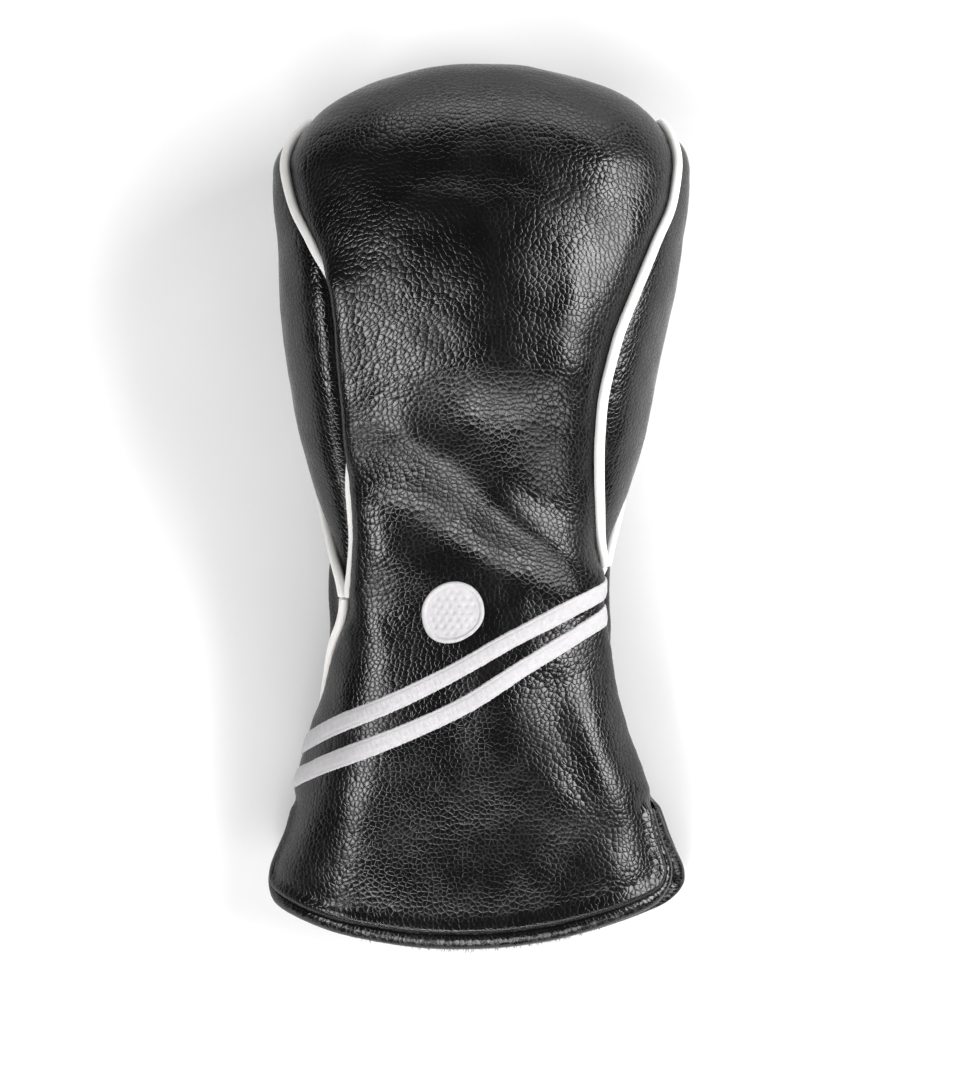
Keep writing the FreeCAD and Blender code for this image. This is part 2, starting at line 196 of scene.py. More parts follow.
# ---- Folds and padding relief ----
SEAM_DIP, SEAM_DIP_REACH = 1.6, 2.2
SEAM_RIPPLE, SEAM_RIPPLE_REACH = 0.12, 5
PUFF_REACH = 9.0
PUFF = ((-112, 0), (-60, 0.5), (0, 1.2), (60, 1.5), (124, 1.3))
FRONT_SEAM_SUNK = ((-34, 1.2), (-20, 2.0), (8, 2.3), (24, 4.8), (80, 4.8), (96, 0.8), (124, 0))
SIDE_SEAM_SUNK = {
    RIGHT: ((-112, 2.8), (-24, 2.8)),
    LEFT: ((-112, 2.8), (-82, 2.6), (-66, 0.3), (-34, 0.3)),
}
OVERHANG, OVERHANG_GAP = 1.0, 4
REST_ROUNDING = 0.5
HEM_RIDGE, HEM_RIDGE_INSET, HEM_RIDGE_WIDTH = 1.7, 8.2, 2.3
HEM_GROOVE, HEM_GROOVE_WIDTH = 0.5, 0.7
# (height, wavelength, seed) of the leather's own unevenness.
UNEVENNESS = ((0.16, 34, 1), (0.05, 13, 2))
# The neck's gathers: where they are, and each panel's (height, spacing).
GATHER_Y, GATHER_SPREAD = -36, 17
GATHERS = {"front": (0.12, 2.4), "back": (0.75, 1.7)}
# Shares of a fold's length: how far it goes past its ends, and how long it takes to fade in.
FOLD_OVERRUN, FOLD_FADE = 0.2, 0.5
# Plan lines on the front panel: start, end, half width, height.
FRONT_FOLDS = (
    # The deep slanting fold over the neck, in two stretches, with the hollow under it.
    ((-34, 36), (-4, 11), 10, 2.0),
    ((-4, 10), (42, -26), 9, 3.6),
    ((-42, 8), (20, -32), 10, -2.4),
    # The padded head: a broad crest along its middle, a narrow one by the right seam, a roll by the crown.
    ((7, 98), (5, 36), 22, 4.4),
    ((34, 92), (30, 36), 9, 1.4),
    ((-34, 112), (26, 107), 10, 1.8),
    # The left edge, from the head to the hem.
    ((-34, 18), (-46, -100), 13, 2.5),
    ((-46, -100), (-52, -158), 13, 2.5),
    # The skirt: soft ridges and hollows that spread towards the hem.
    ((4, -50), (8, -100), 12, 1.8),
    ((26, -62), (42, -110), 9, -1.8),
    ((38, -76), (56, -122), 8, 1.4),
    ((-30, -92), (28, -86), 13, -1.2),
    ((26, -136), (54, -112), 10, -1.6),
    ((-24, -123), (30, -118), 14, -1.6),
)

# ---- Grids and detail ----
STRIP_SIGN = {"front": 1, "back": -1, "right": 1, "left": -1}
GRAIN = "grain"
FINE, COARSE = ((1.15, 2.4))
HAIRS, HAIR_SEED = (2600), 11
DENSE = np.linspace(0, 1, 121)
NORMAL_STEP = 0.4
# A distance at which a seam has no effect.
NO_END_SEAM = 1e3


def add_camera():
    """The camera straight above the cover, as wide as the picture's frame needs."""
    data = bpy.data.cameras.new("camera")
    data.sensor_width = SENSOR
    data.lens = SENSOR * (CAMERA_Z - FRAME_PLANE_Z) / FRAME_HEIGHT
    camera = bpy.data.objects.new("camera", data)
    camera.location = (FRAMING[0], FRAMING[1], CAMERA_Z)
    bpy.context.scene.collection.objects.link(camera)
    bpy.context.scene.camera = camera


def add_softboxes():
    """Large soft lights round the cover."""
    for name, (tilt, azimuth, width, height, radiance) in SOFTBOXES.items():
        tilt, azimuth = math.radians(tilt), math.radians(azimuth)
        plan = Vector((math.cos(azimuth), math.sin(azimuth), 0))
        outward = plan * math.sin(tilt) + Vector((0, 0, math.cos(tilt)))
        data = bpy.data.lights.new(name, "AREA")
        data.shape = "RECTANGLE"
        data.size = width
        data.size_y = height
        data.energy = math.pi * width * height * radiance
        light = bpy.data.objects.new(name, data)
        light.location = AIM + outward * SOFTBOX_DISTANCE
        light.rotation_euler = (-outward).to_track_quat("-Z", "Y").to_euler()
        bpy.context.scene.collection.objects.link(light)


def set_studio():
    """A dim even light from everywhere, and the picture's exposure and contrast."""
    world = bpy.data.worlds.new("studio")
    world.use_nodes = True
    world.node_tree.nodes["Background"].inputs["Strength"].default_value = WORLD_LIGHT
    world.node_tree.nodes["Background"].inputs["Color"].default_value = (1, 1, 1, 1)
    bpy.context.scene.world = world
    view = bpy.context.scene.view_settings
    view.view_transform = "Standard"
    view.exposure = EXPOSURE
    view.gamma = CONTRAST_GAMMA


# ---- The hull ----

@lru_cache(maxsize=None)
def cubics(profile):
    """A profile's stations, and the four coefficients of each of its spans."""
    x, y = np.array(profile, float).T
    slopes = np.diff(y) / np.diff(x)
    before, after = slopes[:-1], slopes[1:]
    same_way = before * after > 0
    total = np.where(same_way, before + after, 1)
    inner = np.where(same_way, 2 * before * after / total, 0)
    tangents = np.concatenate(([slopes[0]], inner, [slopes[-1]]))
    span = np.diff(x)
    cubic = (tangents[:-1] + tangents[1:] - 2 * slopes) / span**2
    square = (3 * slopes - 2 * tangents[:-1] - tangents[1:]) / span
    return x, y[:-1], tangents[:-1], square, cubic


def smooth(profile, at):
    """Values of a curve through the profile's points, with no overshoot between them."""
    x, value, slope, square, cubic = cubics(profile)
    at = np.minimum(np.maximum(at, x[0]), x[-1])
    i = np.minimum(np.maximum(x.searchsorted(at) - 1, 0), len(value) - 1)
    t = at - x[i]
    return value[i] + t * (slope[i] + t * (square[i] + t * cubic[i]))


def ease(t):
    """0 below 0, 1 above 1 and a smooth step between."""
    t = np.clip(t, 0, 1)
    return t * t * (3 - 2 * t)


def half_section(y, upper):
    """The height and power of a section's upper or lower half."""
    widest = smooth(WIDEST_Z, y)
    height = np.where(upper, smooth(TOP_Z, y) - widest, widest - smooth(BOTTOM_Z, y))
    return height, np.where(upper, UPPER_POWER, LOWER_POWER)


def section_turn(y, angle):
    """The turn along the section's curve at which a true angle round from +X falls."""
    height, power = half_section(y, angle >= 0)
    c, s = np.cos(np.radians(angle)), np.sin(np.radians(angle))
    along = np.copysign((np.abs(c) / smooth(HALF_WIDTH, y)) ** (power / 2), c)
    up = np.copysign((np.abs(s) / height) ** (power / 2), s)
    return np.degrees(np.arctan2(up, along))


def section_points(y, turn, depth):
    """Points of the hull's sections, `depth` under its surface."""
    c, s = np.cos(np.radians(turn)), np.sin(np.radians(turn))
    height, power = half_section(y, s >= 0)
    along = np.copysign((smooth(HALF_WIDTH, y) - depth) * np.abs(c) ** (2 / power), c)
    up = np.copysign((height - depth) * np.abs(s) ** (2 / power), s)
    return np.stack([smooth(CENTRE_X, y) + along, y + 0 * up, smooth(WIDEST_Z, y) + up], -1)


def side_angle(side, angle):
    """An angle above the widest line on one side, as an angle round from +X within 180 either way."""
    return angle if side == RIGHT else np.where(angle >= 0, 180 - angle, -180 - angle)


def panel_edge(panel, side, y):
    """The angle of the front or back panel's edge above the widest line."""
    seam = smooth((FRONT_SEAM if panel == "front" else BACK_SEAM)[side], y)
    below = np.maximum(0, (NOTCH_Y - y) / (NOTCH_Y - HEM_Y["back"]))
    split = SPLIT_ANGLE[side] * below * (2 - below) * (1 if panel == "front" else -1)
    return np.where(y > GUSSET_TIP_Y[side], seam, smooth(SIDE_SEAM[side], y) + split)


def strip_turns(strip, y):
    """The turns of a strip's two edges: from right to left, or from back to front."""
    if strip in SIDES:
        edges = [section_turn(y, side_angle(strip, panel_edge(p, strip, y))) for p in ("back", "front")]
        return [turn % 360 for turn in edges] if strip == LEFT else edges
    right, left = (section_turn(y, side_angle(side, panel_edge(strip, side, y))) for side in SIDES)
    return right, left % 360 - (0 if strip == "front" else 360)


def chain(points):
    """Distances along chains of points."""
    steps = np.linalg.norm(np.diff(points, axis=-2), axis=-1)
    start = np.zeros(steps.shape[:-1] + (1,))
    return np.concatenate([start, np.cumsum(steps, -1)], -1)


def strip_half(strip, y):
    """Half of a strip's width, round the hull, at stations."""
    first, last = strip_turns(strip, np.asarray(y, float))
    turns = first[..., None] + (last - first)[..., None] * DENSE
    return chain(section_points(np.asarray(y, float)[..., None], turns, 0))[..., -1] / 2


@lru_cache(maxsize=None)
def half_widths(strip):
    """Stations below the crown, and a strip's half width at each."""
    stations = np.arange(-175, CROWN_START_Y + 1, 3.0)
    return stations, strip_half(strip, stations)


def strip_points(strip, across, y, depth):
    """Points at shares across a strip, -1 at its first edge to 1 at its other."""
    across, y, depth = (a.astype(float) for a in np.broadcast_arrays(across, y, depth))
    found = np.empty((len(y), 3))
    for part in np.array_split(np.arange(len(y)), len(y) // 3000 + 1):
        arcs, which = np.unique(np.stack([y[part], depth[part]]), axis=1, return_inverse=True)
        which = which.ravel()
        first, last = strip_turns(strip, arcs[0])
        turns = first[:, None] + (last - first)[:, None] * DENSE
        passed = chain(section_points(arcs[0][:, None], turns, arcs[1][:, None]))
        want = (1 + across[part]) / 2 * passed[which, -1]
        i = np.clip((passed[which] < want[:, None]).sum(1) - 1, 0, len(DENSE) - 2)
        share = (want - passed[which, i]) / (passed[which, i + 1] - passed[which, i])
        turn = turns[which, i] + (turns[which, i + 1] - turns[which, i]) * share
        found[part] = section_points(y[part], turn, depth[part])
    return found


def crown_reach(across):
    """How far the crown goes past its start, at shares across it."""
    centre = smooth(CENTRE_X, CROWN_START_Y)
    here = strip_points("front", across, CROWN_START_Y, 0)[:, 0] - centre
    edge = strip_points("front", np.copysign(1, across), CROWN_START_Y, 0)[:, 0] - centre
    return GUSSET_REACH + (CROWN_REACH - GUSSET_REACH) * (1 - np.abs(here / edge) ** CROWN_POWER)


@lru_cache(maxsize=None)
def crown_roots(depth):
    """Where lines over the crown start: shares across, reach, and each panel's point and slope there."""
    across = np.linspace(-1, 1, 241)
    roots = [across, crown_reach(across) - depth]
    for panel in ("front", "back"):
        here = strip_points(panel, across, CROWN_START_Y, depth)
        roots += [here, here - strip_points(panel, across, CROWN_START_Y - 1, depth)]
    return roots


def crown_points(turn, depth):
    """Points in a row across the crown, right to left, turned 0 in front to 180 behind."""
    across, reach, front, front_slope, back, back_slope = crown_roots(depth)
    s, c = math.sin(math.radians(turn)), math.cos(math.radians(turn))
    ahead = (reach * s)[:, None]
    point = (front + front_slope * ahead) * (1 + c) / 2 + (back + back_slope * ahead) * (1 - c) / 2
    point[:, 0] += CROWN_INWARD * across**3 * s * s + CROWN_LEAN * s * s
    point[:, 1] = CROWN_START_Y + reach * s
    return point


def crown_row(fractions, gap, turn, depth):
    """One row of the centre strip over the crown, `gap` back from its seams."""
    points = crown_points(turn, depth)
    passed = chain(points)
    edge = 1 - 2 * gap / passed[-1]
    want = (1 + fractions * edge) / 2 * passed[-1]
    row = np.stack([np.interp(want, passed, points[:, k]) for k in range(3)], -1)
    return row, fractions * edge, passed[-1] / 2


def crown_corner(side, turn, depth):
    """The point of a seam over the crown, on one side."""
    return crown_points(turn, depth)[0 if side == RIGHT else -1]


def gusset_row(side, fractions, gap, turn, depth):
    """One row of a gusset's rounded end, from its back seam to its front seam."""
    narrowing = math.cos(math.radians(turn))
    half = strip_half(side, CROWN_START_Y) * narrowing
    across = fractions * (1 - gap / half)
    base = strip_points(side, across, CROWN_START_Y, depth)
    first, last = strip_points(side, np.array([-1.0, 1.0]), CROWN_START_Y, depth)
    share = ((1 + across) / 2)[:, None]
    front, back = (crown_corner(side, t, depth) for t in (turn, 180 - turn))
    bulge = base - (first + (last - first) * share)
    return back + (front - back) * share + bulge * narrowing, across, half


# ---- Folds, padding and puckers ----

def waves(points, wavelength, seed, count=28):
    """Smooth seeded noise about 0, mostly within 2 either way."""
    rng = np.random.default_rng(seed)
    directions = rng.normal(size=(count, 3))
    directions /= np.linalg.norm(directions, axis=1)[:, None]
    numbers = 2 * np.pi / (wavelength * rng.uniform(0.7, 1.5, count))
    phases = rng.uniform(0, 2 * np.pi, count)
    total = np.zeros(points.shape[:-1])
    for direction, number, phase in zip(directions, numbers, phases):
        total += np.sin(points @ direction * number + phase)
    return total / math.sqrt(count / 2)


def fold(points, start, end, half_width, height):
    """A ridge, or a valley if height is negative, along a plan line, fading out at both ends."""
    a, b = np.array(start, float), np.array(end, float)
    run = b - a
    length = np.linalg.norm(run)
    offset = points[..., :2] - a
    along = offset @ run / length**2
    across = (offset[..., 0] * run[1] - offset[..., 1] * run[0]) / length
    fade = ease((along + FOLD_OVERRUN) / FOLD_FADE) * ease((1 + FOLD_OVERRUN - along) / FOLD_FADE)
    return height * np.exp(-((across / half_width) ** 2)) * fade


def hem_inset(panel, across, y):
    """How far places on a tongue are inside its outline."""
    out = np.abs(across) * TONGUE_HALF_ARC
    up = y - HEM_Y[panel] - HEM_SWEEP / TONGUE_HALF_ARC**2 * out**2
    side = TONGUE_HALF_ARC - SIDE_EDGE_GAP - out
    r = HEM_CORNER_RADIUS
    corner = r - np.hypot(r - np.minimum(up, r), r - np.minimum(side, r))
    return np.where((up < r) & (side < r), corner, np.minimum(up, side))


def sunk(strip, side, station):
    """How far the seam along a strip's edge is pulled in, so that the front panel rolls over it."""
    seam = np.zeros(np.shape(station))
    if side == LEFT and strip in ("front", "left"):
        seam = smooth(FRONT_SEAM_SUNK, station)
    if strip in ("front", "back", "side"):
        below = ease((GUSSET_TIP_Y[side] + 4 - station) / 8)
        seam = seam + (smooth(SIDE_SEAM_SUNK[side], station) - seam) * below
    return seam


def hem_relief(panel, across, station):
    """The rolled ridge inside a tongue's edge, and the groove where its binding is sewn on."""
    inset = hem_inset(panel, across, station)
    ridge = HEM_RIDGE * np.exp(-(((inset - HEM_RIDGE_INSET) / HEM_RIDGE_WIDTH) ** 2))
    groove = HEM_GROOVE * np.exp(-(((inset - HEM_BINDING_WIDTH) / HEM_GROOVE_WIDTH) ** 2))
    return (ridge - groove) * ease((NOTCH_Y + 4 - station) / 6)


def gathers(panel, points, gap, station):
    """The puckers that the elastic makes across the neck."""
    height, spacing = GATHERS[panel]
    near = np.exp(-(((station - GATHER_Y) / GATHER_SPREAD) ** 2))
    return height * near * np.sin(gap / spacing + 1.5 * waves(points, 60, 7))


def relief(strip, points, across, half, station, end_gap):
    """How far the finished leather stands off the plain hull, in millimetres."""
    gaps = {RIGHT: (1 + across) * half, LEFT: (1 - across) * half}
    sewn = ease((station - NOTCH_Y) / 8)
    raised = 1 - np.exp(-((end_gap / PUFF_REACH) ** 2))
    height = -SEAM_DIP * np.exp(-end_gap / SEAM_DIP_REACH)
    ripple = SEAM_RIPPLE * np.sin(station / 1.1 + 2.5 * waves(points, 30, 5))
    for side, gap in gaps.items():
        pulled = sunk(strip, side, station)
        raised = raised * (1 - np.exp(-((gap / PUFF_REACH) ** 2)))
        height -= sewn * (SEAM_DIP + pulled) * np.exp(-gap / SEAM_DIP_REACH)
        height -= ripple * np.exp(-gap / SEAM_RIPPLE_REACH)
        if strip == "front":
            share = gap / OVERHANG_GAP
            height += OVERHANG * pulled * sewn * share * np.exp(1 - share)
    height += smooth(PUFF, station) * raised
    for amount, wavelength, seed in UNEVENNESS:
        height += amount * waves(points, wavelength, seed)
    if strip == "front":
        clear = ease(np.minimum(gaps[RIGHT], gaps[LEFT]) / 8)
        for start, end, half_width, amount in FRONT_FOLDS:
            height += fold(points, start, end, half_width, amount) * clear
    if strip in GATHERS:
        height += hem_relief(strip, across, station)
        height += gathers(strip, points, gaps[RIGHT], station)
    return height


# ---- Grids ----

def depth_at(depth, y):
    """A depth, given as a number or as a function of the station."""
    return depth(y) if callable(depth) else depth


def unit(vectors):
    """Vectors at length 1."""
    return vectors / np.maximum(np.linalg.norm(vectors, axis=-1, keepdims=True), 1e-9)


class Skin:
    """One strip as a grid: rows up the cover and over its crown, columns from edge to edge."""

    def __init__(self, strip, stations, turns, fractions, edge_gap):
        self.strip, self.turns, self.fractions, self.edge_gap = strip, turns, fractions, edge_gap
        self.name = SIDES.get(strip, strip)
        self.sign = STRIP_SIGN[self.name]
        self.stations = np.array([y + 0 * fractions for y in stations])
        self.halves = strip_half(strip, self.stations.max(1))
        self.shares = fractions * self.edge_share(self.stations.max(1), self.halves)[:, None]
        self.crown_halves, self.crown_shares = [], []
        base = self.grid(0)
        self.normals = self.sign * unit(np.cross(np.gradient(base, axis=0), np.gradient(base, axis=1)))
        along = chain(np.swapaxes(base, 0, 1)).T
        notch_row = (self.stations[:, 0] < NOTCH_Y).sum()
        reach = CROWN_START_Y + along[len(self.stations):] - along[len(self.stations) - 1]
        station = np.concatenate([self.stations, reach])
        across = np.concatenate([self.shares, np.array(self.crown_shares).reshape(-1, len(fractions))])
        half = np.concatenate([self.halves, self.crown_halves])[:, None]
        end_gap = along[-1] - along + LEATHER_EDGE_GAP
        self.height = relief(self.name, base, across, half, station, end_gap)
        self.uv = np.stack([across * half, along - along[notch_row]], -1)

    def edge_share(self, y, half):
        """Where the strip's cut edge is, as a share of its half width."""
        sewn = 1 - self.edge_gap / half
        if self.strip in SIDES:
            return sewn
        tongue = CUT_HALF_ARC / TONGUE_HALF_ARC
        return tongue + (sewn - tongue) * ease((y - NOTCH_Y) / 8)

    def grid(self, depth):
        """The plain hull's points at a depth."""
        y = self.stations.ravel()
        rows = strip_points(self.strip, self.shares.ravel(), y, depth_at(depth, y))
        rows = list(rows.reshape(self.stations.shape + (3,)))
        at_crown = float(depth_at(depth, CROWN_START_Y))
        self.crown_halves, self.crown_shares = [], []
        for turn in self.turns:
            if self.strip in SIDES:
                gap = self.edge_gap / math.cos(math.radians(turn))
                row, across, half = gusset_row(self.strip, self.fractions, gap, turn, at_crown)
            else:
                row, across, half = crown_row(self.fractions, self.edge_gap, turn, at_crown)
            rows.append(row)
            self.crown_shares.append(across)
            self.crown_halves.append(half)
        return np.array(rows)

    def at(self, depth):
        """The folded layer's points at a depth, flattened where the cover rests on the floor."""
        points = self.grid(depth) + self.normals * self.height[..., None]
        over_crown = np.full((len(self.turns), len(self.fractions)), CROWN_START_Y)
        return rested(points, depth_at(depth, np.concatenate([self.stations, over_crown])))

    def layer(self, name, outer, inner, roughness=0, seed=0):
        """A closed mesh between two depths."""
        tops, bottoms = self.at(outer), self.at(inner)
        if roughness:
            rng = np.random.default_rng(seed)
            bottoms = bottoms + self.normals * rng.normal(0, roughness, bottoms.shape[:2])[..., None]
        return slab(name, tops, bottoms, self.sign, self.uv)


def rested(points, depth):
    """Points kept above the floor, each layer by its depth, with a soft start to the flat."""
    above = points[..., 2] - depth
    flattened = REST_ROUNDING * np.exp(above / REST_ROUNDING - 1)
    points[..., 2] = depth + np.where(above < REST_ROUNDING, flattened, above)
    return points


def skin_points(strip, across, y, depth):
    """Points of the front or back panel's folded surface, `depth` under it, below its crown."""
    base = strip_points(strip, across, y, 0)
    half = np.interp(y, *half_widths(strip))
    inward = -np.copysign(NORMAL_STEP, across) / half
    along = strip_points(strip, across, y + NORMAL_STEP, 0) - base
    sideways = (strip_points(strip, across + inward, y, 0) - base) * np.sign(inward)[:, None]
    normals = STRIP_SIGN[strip] * unit(np.cross(along, sideways))
    height = relief(strip, base, across, half, y, np.full(len(y), NO_END_SEAM))
    return rested(strip_points(strip, across, y, depth) + normals * height[:, None], depth)


# ---- Meshes ----

def placed(points):
    """Hull points in millimetres as the frame's metres."""
    return (np.asarray(points).reshape(-1, 3) + HULL_ORIGIN) * MM


def make_mesh(name, points, faces, uv=None, sharp=50):
    """A smooth-shaded object from points in hull millimetres."""
    mesh = bpy.data.meshes.new(name)
    mesh.from_pydata(placed(points).tolist(), [], [list(face) for face in faces])
    mesh.polygons.foreach_set("use_smooth", [True] * len(mesh.polygons))
    mesh.set_sharp_from_angle(angle=math.radians(sharp))
    if uv is not None:
        corners = np.empty(len(mesh.loops), dtype=np.int32)
        mesh.loops.foreach_get("vertex_index", corners)
        layer = mesh.uv_layers.new(name=GRAIN)
        layer.data.foreach_set("uv", np.asarray(uv).reshape(-1, 2)[corners].ravel().astype(np.float32))
    made = bpy.data.objects.new(name, mesh)
    bpy.context.scene.collection.objects.link(made)
    return made


def slab(name, tops, bottoms, sign, uv, sharp=50):
    """A closed mesh from two grids of points, top and bottom, with walls round the rim."""
    rows, columns = tops.shape[:2]
    index = np.arange(rows * columns).reshape(rows, columns)
    quads = np.stack([index[:-1, :-1], index[1:, :-1], index[1:, 1:], index[:-1, 1:]], -1).reshape(-1, 4)
    rim = np.concatenate([index[0], index[1:, -1], index[-1, -2::-1], index[-2:0:-1, 0]])
    after = np.roll(rim, -1)
    count = rows * columns
    walls = np.stack([rim, after, after + count, rim + count], -1)
    faces = np.concatenate([quads, quads[:, ::-1] + count, walls])
    if sign < 0:
        faces = faces[:, ::-1]
    points = np.concatenate([tops.reshape(-1, 3), bottoms.reshape(-1, 3)])
    flat = np.asarray(uv).reshape(-1, 2)
    return make_mesh(name, points, faces.tolist(), np.concatenate([flat, flat]), sharp)


def tube_rings(path, radius, sides):
    """Rings of points round a path, with each ring's angle carried on from the last."""
    path = np.asarray(path, float)
    ahead = unit(np.gradient(path, axis=0))
    normal = np.array((0.0, 0.0, 1.0))
    turns = np.linspace(0, 2 * np.pi, sides, endpoint=False)
    rings = []
    for point, forward, size in zip(path, ahead, np.broadcast_to(radius, len(path))):
        normal = normal - forward * (normal @ forward)
        normal = normal / np.linalg.norm(normal)
        side = np.cross(forward, normal)
        rings.append(point + size * (np.cos(turns)[:, None] * normal + np.sin(turns)[:, None] * side))
    return np.array(rings)


def swept(name, rings, uv_round, uv_along, sharp=50):
    """A closed mesh from rings of points, all with the same count, capped at both ends."""
    count, sides = rings.shape[:2]
    index = np.arange(count * sides).reshape(count, sides)
    ahead = np.roll(index, -1, axis=1)
    quads = np.stack([index[:-1], ahead[:-1], ahead[1:], index[1:]], -1).reshape(-1, 4).tolist()
    caps = [index[0, ::-1].tolist(), index[-1].tolist()]
    uv = np.stack(np.broadcast_arrays(uv_round[None, :], uv_along[:, None]), -1)
    return make_mesh(name, rings.reshape(-1, 3), quads + caps, uv, sharp)


def spaced(path, step):
    """Evenly spaced points along a path."""
    path = np.asarray(path, float)
    passed = chain(path)
    count = max(3, int(round(passed[-1] / step)) + 1)
    at = np.linspace(0, passed[-1], count)
    return np.stack([np.interp(at, passed, path[:, k]) for k in range(3)], -1)


def softened(path, rounds=3):
    """A path with its small kinks averaged out; its ends stay."""
    path = np.array(path, float)
    for _ in range(rounds):
        path[1:-1] = path[1:-1] / 2 + (path[:-2] + path[2:]) / 4
    return path


# ---- Materials ----

class Finish:
    """A material's node tree, built by calls."""

    def __init__(self, name):
        self.material = bpy.data.materials.new(name)
        self.material.use_nodes = True
        self.nodes = self.material.node_tree.nodes
        self.links = self.material.node_tree.links
        self.shader = self.nodes["Principled BSDF"]
        self.grain = self.add("ShaderNodeUVMap", {"uv_map": GRAIN}).outputs["UV"]

    def add(self, kind, settings=None, inputs=None):
        """A new node with its settings, and its inputs given as values or linked sockets."""
        node = self.nodes.new(kind)
        for name, value in (settings or {}).items():
            setattr(node, name, value)
        for name, value in (inputs or {}).items():
            self.put(node.inputs[name], value)
        return node

    def put(self, socket, value):
        """Sets or links one input."""
        if isinstance(value, bpy.types.NodeSocket):
            self.links.new(value, socket)
        else:
            socket.default_value = value

    def set(self, **values):
        """The shader's own inputs; an underscore stands for a space."""
        for name, value in values.items():
            self.put(self.shader.inputs[name.replace("_", " ")], value)

    def math(self, operation, *values):
        """A math node's result."""
        node = self.add("ShaderNodeMath", {"operation": operation})
        for socket, value in zip(node.inputs, values):
            self.put(socket, value)
        return node.outputs[0]

    def noise(self, scale, detail=2.0, vector=None, output="Fac"):
        """Noise in the grain's millimetres, 0 to 1."""
        inputs = {"Vector": vector or self.grain, "Scale": scale, "Detail": detail}
        return self.add("ShaderNodeTexNoise", {"noise_dimensions": "2D"}, inputs).outputs[output]

    def cells(self, vector, scale, feature):
        """Distances in a flat cell texture."""
        settings = {"voronoi_dimensions": "2D", "feature": feature}
        inputs = {"Vector": vector, "Scale": scale}
        return self.add("ShaderNodeTexVoronoi", settings, inputs).outputs["Distance"]

    def ramp(self, value, low, high, start=0.0, end=1.0):
        """A value mapped smoothly from low..high to start..end."""
        inputs = {"Value": value, "From Min": low, "From Max": high, "To Min": start, "To Max": end}
        node = self.add("ShaderNodeMapRange", {"interpolation_type": "SMOOTHSTEP"}, inputs)
        return node.outputs["Result"]

    def mix(self, share, first, second):
        """A colour between two, each as red, green and blue."""
        node = self.add("ShaderNodeMix", {"data_type": "RGBA"})
        self.put(node.inputs[0], share)
        self.put(node.inputs[6], (*first, 1))
        self.put(node.inputs[7], (*second, 1))
        return node.outputs[2]

    def bump(self, height, distance):
        """The surface's own relief, `distance` metres for each 1 of the height."""
        inputs = {"Height": height, "Distance": distance, "Strength": 1.0}
        self.set(Normal=self.add("ShaderNodeBump", None, inputs).outputs["Normal"])

    def vector(self, operation, first, second):
        """A vector math node's result."""
        inputs = {0: first, 1: second}
        return self.add("ShaderNodeVectorMath", {"operation": operation}, inputs).outputs[0]

    def warped(self, scale, amount):
        """The grain's coordinates pushed about by noise."""
        centred = self.vector("SUBTRACT", self.noise(scale, output="Color"), (0.5, 0.5, 0.5))
        return self.vector("ADD", self.grain, self.vector("MULTIPLY", centred, (amount,) * 3))


def leather_material(name, pebble, depth, base, roughness):
    """Black coated leather: rounded pebbles with narrow creases, finer grain and rubbed, uneven gloss; the
    creases are painted darker as shade.
    """
    f = Finish(name)
    at = f.warped(0.3, 0.9)
    edge = f.cells(at, 1 / pebble, "DISTANCE_TO_EDGE")
    small_edge = f.cells(at, 2.1 / pebble, "DISTANCE_TO_EDGE")
    dome = f.cells(at, 1 / pebble, "SMOOTH_F1")
    crease = f.ramp(edge, 0.0, 0.20)
    small = f.ramp(small_edge, 0.0, 0.14)
    patches = f.ramp(f.noise(0.09), 0.4, 0.65)
    fine = f.noise(2.6, 3.0)
    height = f.math("MULTIPLY", crease, 0.5)
    height = f.math("MULTIPLY_ADD", f.math("MULTIPLY", dome, dome), -1.5, height)
    height = f.math("MULTIPLY_ADD", f.math("MULTIPLY", small, patches), 0.1, height)
    height = f.math("MULTIPLY_ADD", fine, 0.02, height)
    f.bump(height, depth)
    # Painted shade: the base colour is darkened to 0.45 in the creases between pebbles.
    f.set(Base_Color=f.mix(crease, [0.45 * c for c in base], base))
    worn = f.noise(0.05, 3.0)
    gloss = f.ramp(worn, 0.3, 0.7, roughness - 0.05, roughness + 0.06)
    f.set(Roughness=f.math("MULTIPLY_ADD", f.math("SUBTRACT", 1.0, crease), 0.12, gloss))
    f.set(IOR=1.5, Specular_IOR_Level=0.75)
    return f.material


def piping_material():
    """Smooth white coated leather, very slightly uneven."""
    f = Finish("white_leather")
    fine = f.noise(1.6, 3.0)
    soft = f.noise(0.25, 2.0)
    f.bump(f.math("MULTIPLY_ADD", soft, 2.0, fine), 0.00004)
    f.set(Base_Color=f.mix(soft, (0.74, 0.73, 0.715), (0.80, 0.79, 0.78)))
    f.set(Roughness=f.ramp(fine, 0.2, 0.8, 0.36, 0.46))
    return f.material


def thread_material():
    """White embroidery thread: fine fibres along each stitch, with a soft sheen."""
    f = Finish("white_thread")
    fibres = f.noise(1.0, 3.0, f.vector("MULTIPLY", f.grain, (9.0, 1.2, 1.0)))
    tone = f.noise(0.5, 2.0)
    f.bump(fibres, 0.00006)
    f.set(Base_Color=f.mix(tone, (0.47, 0.46, 0.47), (0.57, 0.56, 0.57)))
    f.set(Roughness=f.ramp(fibres, 0.3, 0.7, 0.5, 0.7))
    f.set(Sheen_Weight=0.25, Sheen_Roughness=0.4)
    return f.material


def fleece_material():
    """Black fleece: short tangled pile."""
    f = Finish("black_fleece")
    tufts = f.noise(0.9, 4.0)
    pile = f.noise(4.0, 3.0)
    f.bump(f.math("MULTIPLY_ADD", tufts, 2.0, pile), 0.0006)
    f.set(Base_Color=f.mix(pile, (0.006, 0.006, 0.007), (0.024, 0.024, 0.026)))
    f.set(Roughness=f.ramp(tufts, 0.2, 0.8, 0.85, 1.0))
    f.set(Sheen_Weight=0.5, Sheen_Roughness=0.5)
    return f.material


